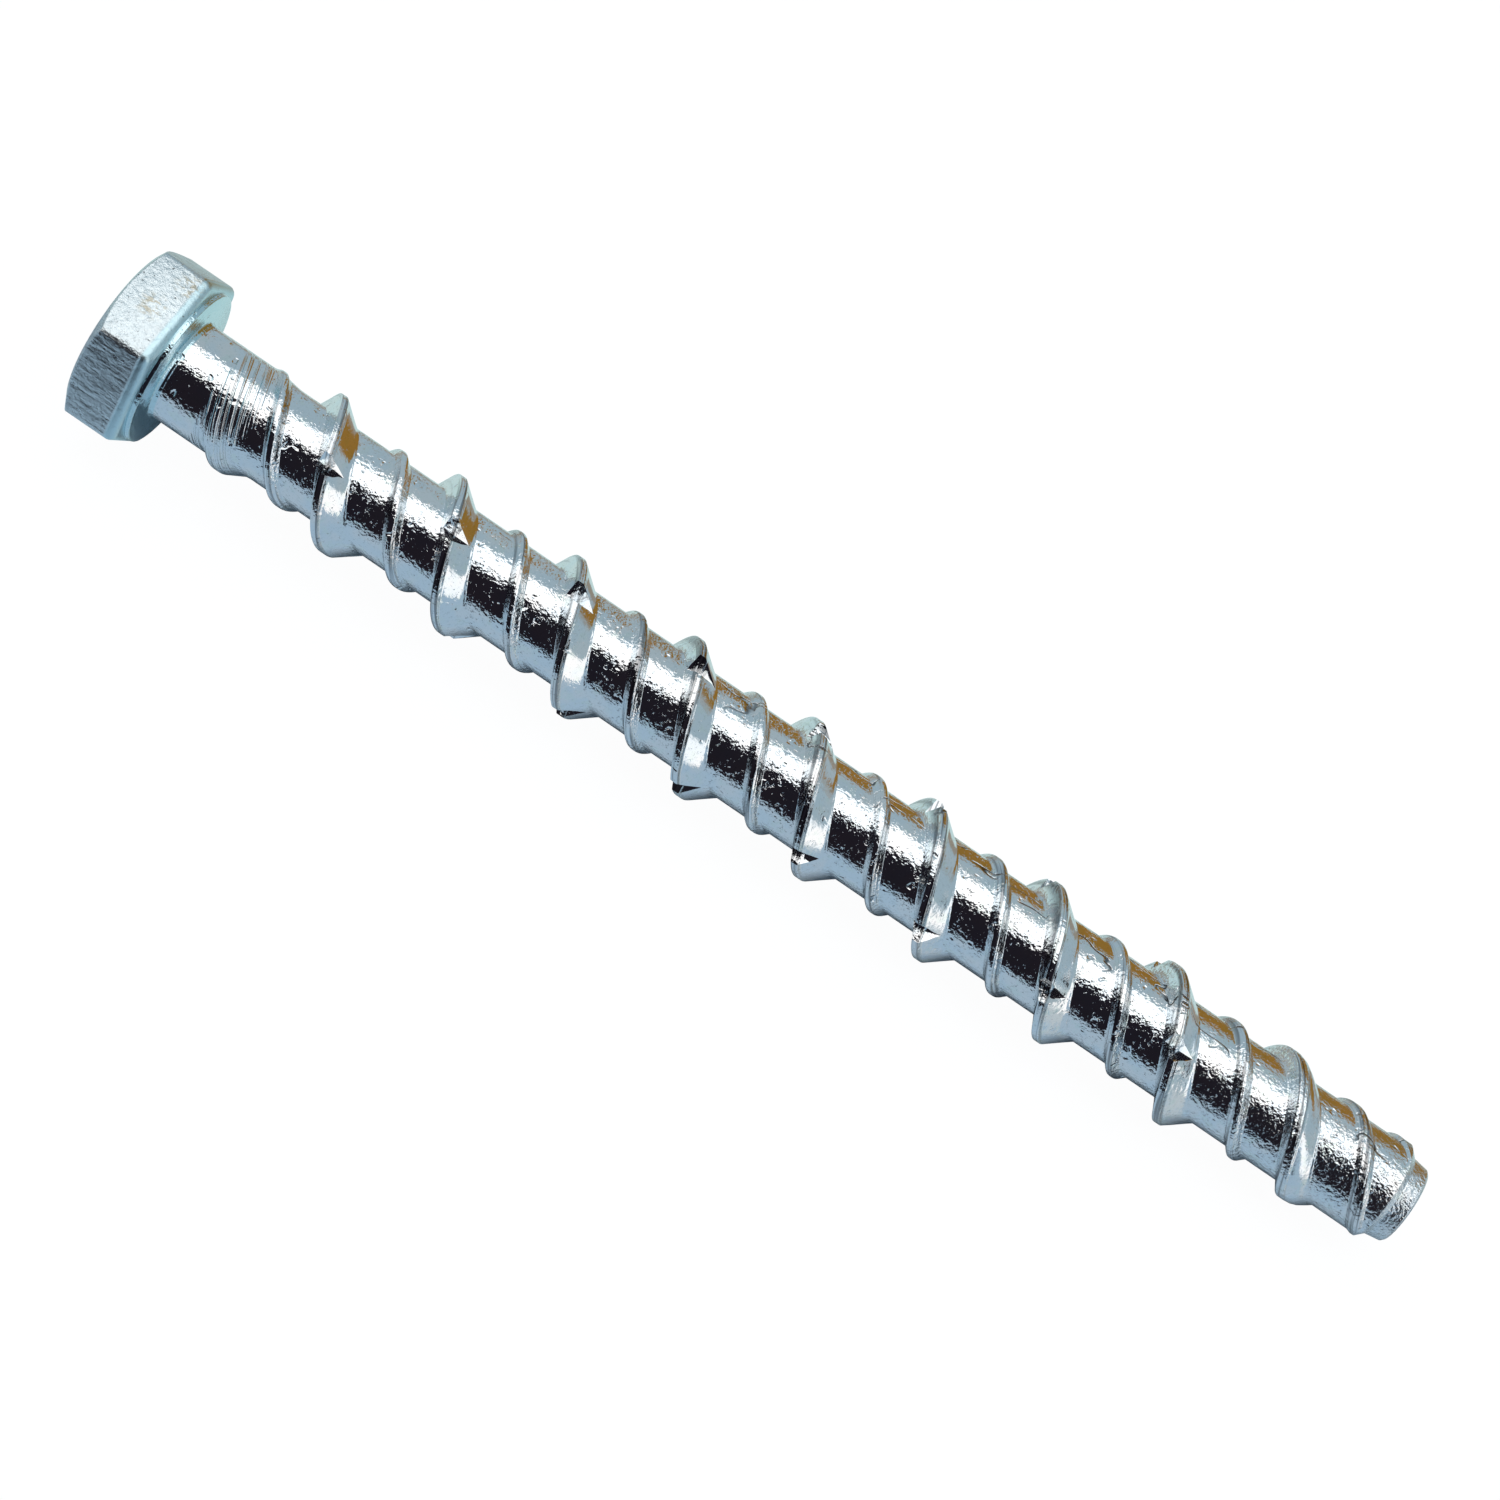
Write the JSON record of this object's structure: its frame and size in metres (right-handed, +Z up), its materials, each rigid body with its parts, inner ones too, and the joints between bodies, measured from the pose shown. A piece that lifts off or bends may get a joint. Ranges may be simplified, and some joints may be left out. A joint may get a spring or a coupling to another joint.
{
  "type": "concrete screw",
  "caption": "Concrete screw lying on its side: hexagon head with a washer face, plain shank, coarse notched high thread, low guide thread and blunt tip, in bright zinc-plated steel.",
  "frame": {"origin": "middle of the base of the bounding box, on the surface that the screw lies on", "axes": "+X from the head to the tip, +Z up. The axis of the screw falls 1.03 degrees towards the tip, because the head rests on a flat and the threaded end on a crest of the high thread"},
  "size_m": [0.1578, 0.0218, 0.0191],
  "materials": {
    "zinc_plated_steel": "bright zinc plate with a faint blue passivation tint, mirror-like and finely pitted"
  },
  "bodies": {
    "root": {"concrete_screw": "zinc_plated_steel"}
  },
  "joints": []
}
